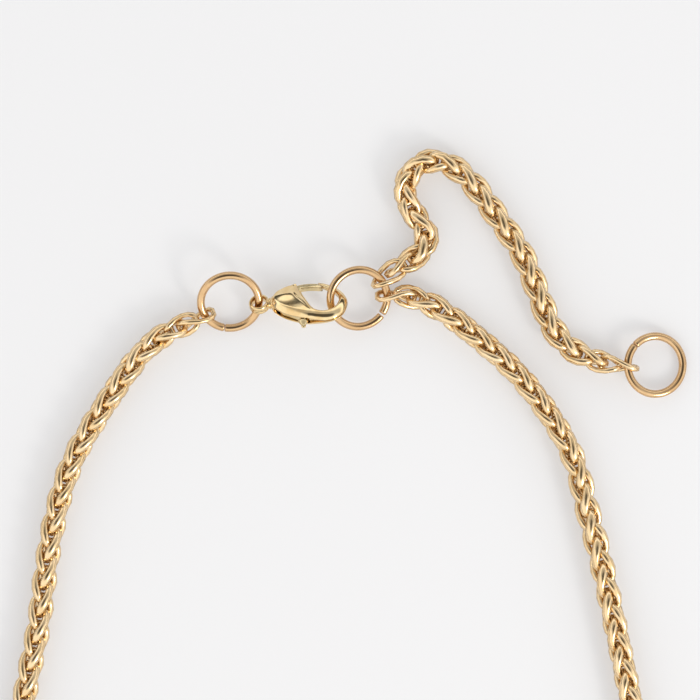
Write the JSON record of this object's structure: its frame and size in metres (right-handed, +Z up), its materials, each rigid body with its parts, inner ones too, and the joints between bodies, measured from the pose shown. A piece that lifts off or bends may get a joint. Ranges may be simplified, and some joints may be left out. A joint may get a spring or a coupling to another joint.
{
  "type": "wheat chain necklace with lobster clasp and extender",
  "caption": "Woven gold-coloured chain necklace laid in an open loop, closed by a lobster clasp in a plain ring, with a short extender chain that ends in a plain ring.",
  "frame": {"origin": "on the surface that the necklace lies on, below the middle of its box", "axes": "+Y from the front of the loop to the clasp, +X from the clasp's eye to its nose, +Z up"},
  "size_m": [0.1043, 0.1751, 0.0067],
  "materials": {
    "chain": "satin gold plate",
    "ring": "satin gold plate",
    "clasp": "polished pale gold plate"
  },
  "bodies": {
    "necklace": {"neck_chain": "chain", "extender_chain": "chain", "clasp_ring": "ring", "catch_ring": "ring", "end_ring": "ring", "clasp_body": "clasp", "clasp_pin": "clasp"},
    "lever": {"clasp_lever": "clasp"}
  },
  "joints": [
    {"name": "lever_hinge", "type": "hinge", "parent": "necklace", "child": "lever", "pos_m": [-0.00829, 0.06453, 0.00272], "axis": [-0.1258, 0.6363, 0.7611], "range_deg": [-18, 0], "stiffness_Nm_per_rad": 0.01, "springref_deg": 5.73}
  ]
}
